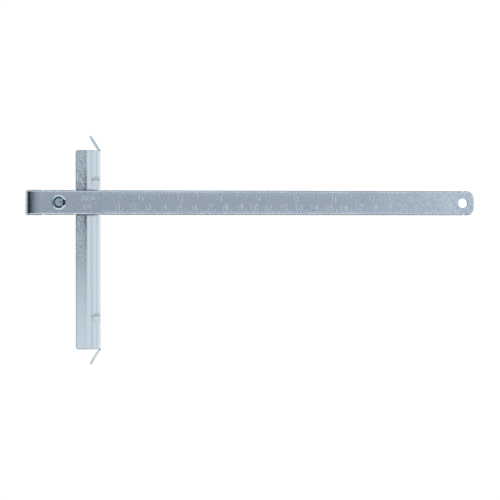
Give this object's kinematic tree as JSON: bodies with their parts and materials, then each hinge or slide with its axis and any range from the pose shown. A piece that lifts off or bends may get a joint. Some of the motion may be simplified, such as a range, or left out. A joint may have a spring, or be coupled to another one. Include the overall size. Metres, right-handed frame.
{
  "type": "t square",
  "caption": "T-shaped steel guide: a scaled bar across an L-section fence with lead-in tips, and a sprung, turning centre pin behind the fence.",
  "frame": {"origin": "on the fence's working face, under the bar's centreline and halfway up the flat of that face, where the scale has its zero", "axes": "+X along the bar from the working face towards the hanging hole, +Y along the fence towards its short side, +Z out of the scaled side of the bar"},
  "size_m": [0.2965, 0.1509, 0.0299],
  "materials": {
    "bar_zinc": "zinc-plated rolled steel, dull, with stamped marks",
    "fence_zinc": "zinc-plated pressed steel, brighter at the bend",
    "pin_steel": "zinc-plated turned steel",
    "ring_steel": "zinc-plated spring steel",
    "spring_steel": "drawn spring wire, zinc-plated",
    "bushing_nylon": "black moulded nylon"
  },
  "bodies": {
    "root": {"guide_bar": "bar_zinc", "fence": "fence_zinc", "pin_bushing": "bushing_nylon", "pin_spring": "spring_steel"},
    "plunger": {"retaining_ring": "ring_steel"},
    "pin": {"centre_pin": "pin_steel"}
  },
  "joints": [
    {"name": "pin_press", "type": "slide", "parent": "root", "child": "plunger", "axis": [0, 0, 1], "range_m": [0, 0.006], "stiffness_N_per_m": 400, "springref_m": -0.005, "deforming": ["pin_spring"]},
    {"name": "pin_spin", "type": "hinge", "parent": "plunger", "child": "pin", "pos_m": [-0.0266, 0, 0.0167], "axis": [0, 0, 1], "continuous": true}
  ]
}
